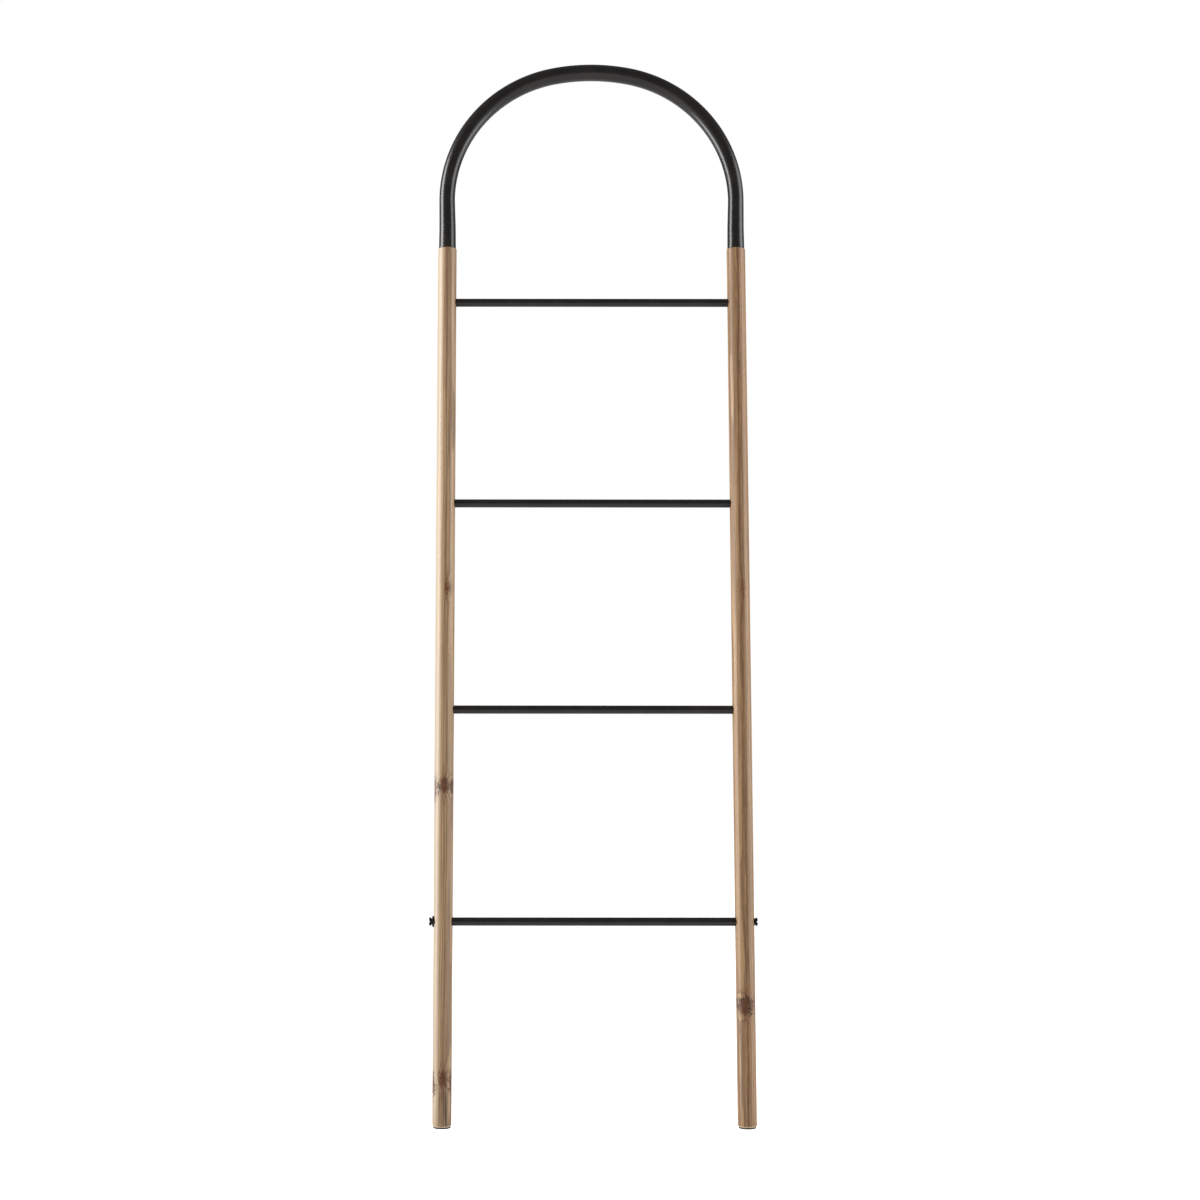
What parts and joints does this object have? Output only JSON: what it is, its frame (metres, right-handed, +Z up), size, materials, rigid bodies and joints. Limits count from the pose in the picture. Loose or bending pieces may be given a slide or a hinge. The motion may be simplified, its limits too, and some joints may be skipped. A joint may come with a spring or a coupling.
{
  "type": "leaning blanket ladder",
  "caption": "Leaning ladder rack for hanging quilts and towels: round wooden poles, black steel rungs and an arched steel top.",
  "frame": {"origin": "on the floor, at the bottom centre of the leaning ladder's box: midway between its sides, and midway between the front of the feet and the wall behind the arch", "axes": "+Z up from the floor, +Y from the feet towards the wall that the arch leans on, +X to the right as seen from the front"},
  "size_m": [0.512, 0.2942, 1.6942],
  "materials": {
    "oiled_softwood": "oiled, straight lengthwise grain with a few knots",
    "black_powder_coating": "satin black powder coating with a fine texture",
    "black_steel": "satin black oxide",
    "zinc_steel": "bright zinc plating",
    "black_rubber": "matte"
  },
  "bodies": {
    "root": {"left_pole": "oiled_softwood", "right_pole": "oiled_softwood", "arch_tube": "black_powder_coating", "lowest_rung": "black_powder_coating", "second_rung": "black_powder_coating", "third_rung": "black_powder_coating", "top_rung": "black_powder_coating", "left_rung_insert": "zinc_steel", "right_rung_insert": "zinc_steel", "left_washer": "black_steel", "right_washer": "black_steel", "left_rung_screw": "black_steel", "right_rung_screw": "black_steel", "left_arch_screw": "black_steel", "right_arch_screw": "black_steel", "left_foot_pad": "black_rubber", "right_foot_pad": "black_rubber"}
  },
  "joints": []
}
